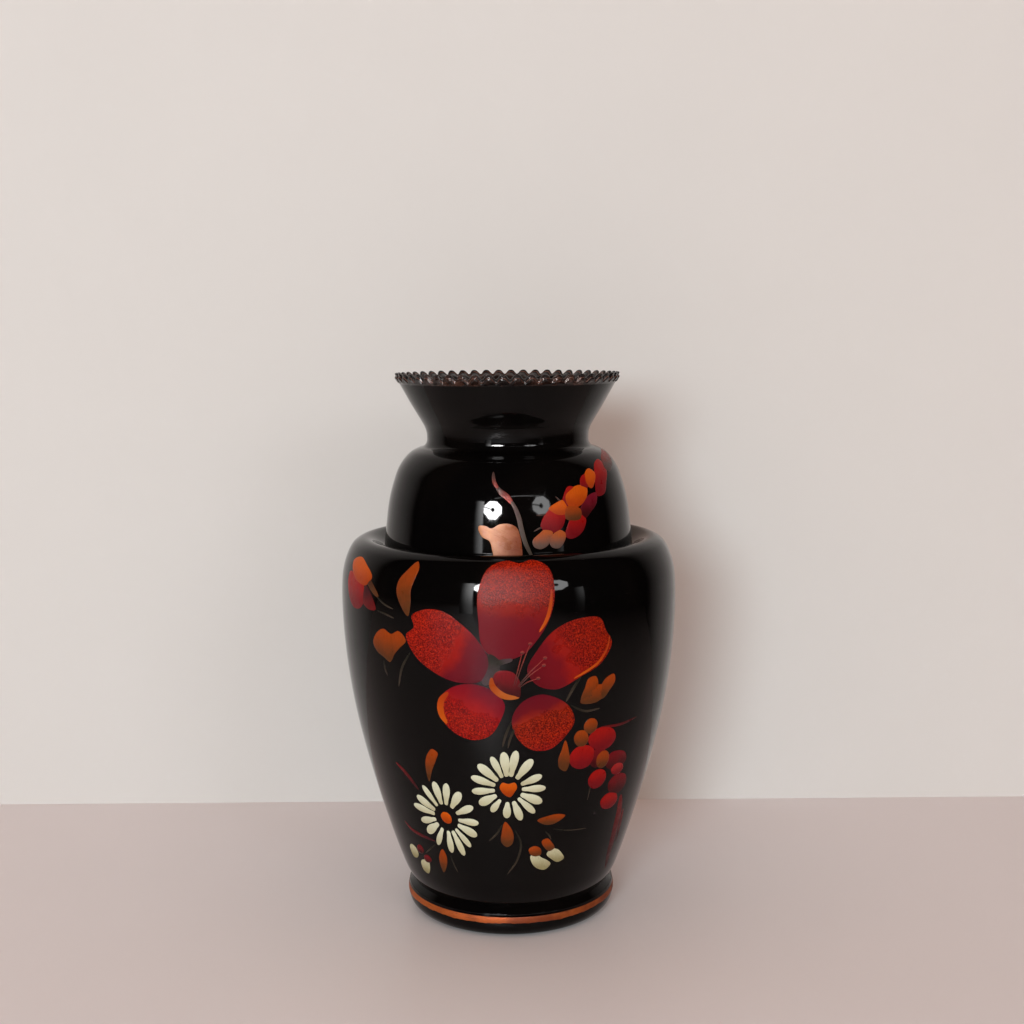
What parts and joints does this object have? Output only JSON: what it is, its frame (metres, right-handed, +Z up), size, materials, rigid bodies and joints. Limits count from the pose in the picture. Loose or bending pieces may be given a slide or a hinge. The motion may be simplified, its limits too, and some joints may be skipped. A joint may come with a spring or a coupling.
{
  "type": "vase",
  "caption": "Tall glazed vase with an inverted-pear body, stepped shoulder tier, flared neck and a crimped rim, painted with enamel flowers.",
  "frame": {"origin": "centre of the flat ring under the foot, on the surface that the vase stands on", "axes": "+Z up along the axis of revolution; the painted front faces -Y and +X is on the right of someone who looks at the front"},
  "size_m": [0.1726, 0.1726, 0.28],
  "materials": {
    "black_glaze": "polished",
    "rim_glaze": "gloss",
    "gilding": "satin",
    "red_enamel": "satin",
    "orange_enamel": "satin",
    "cream_enamel": "satin",
    "brown_enamel": "satin",
    "green_enamel": "satin"
  },
  "bodies": {
    "root": {"foot_disc": "black_glaze", "body_wall": "black_glaze", "shoulder_tier": "black_glaze", "neck_collar": "black_glaze", "crimped_rim": "rim_glaze"}
  },
  "joints": []
}
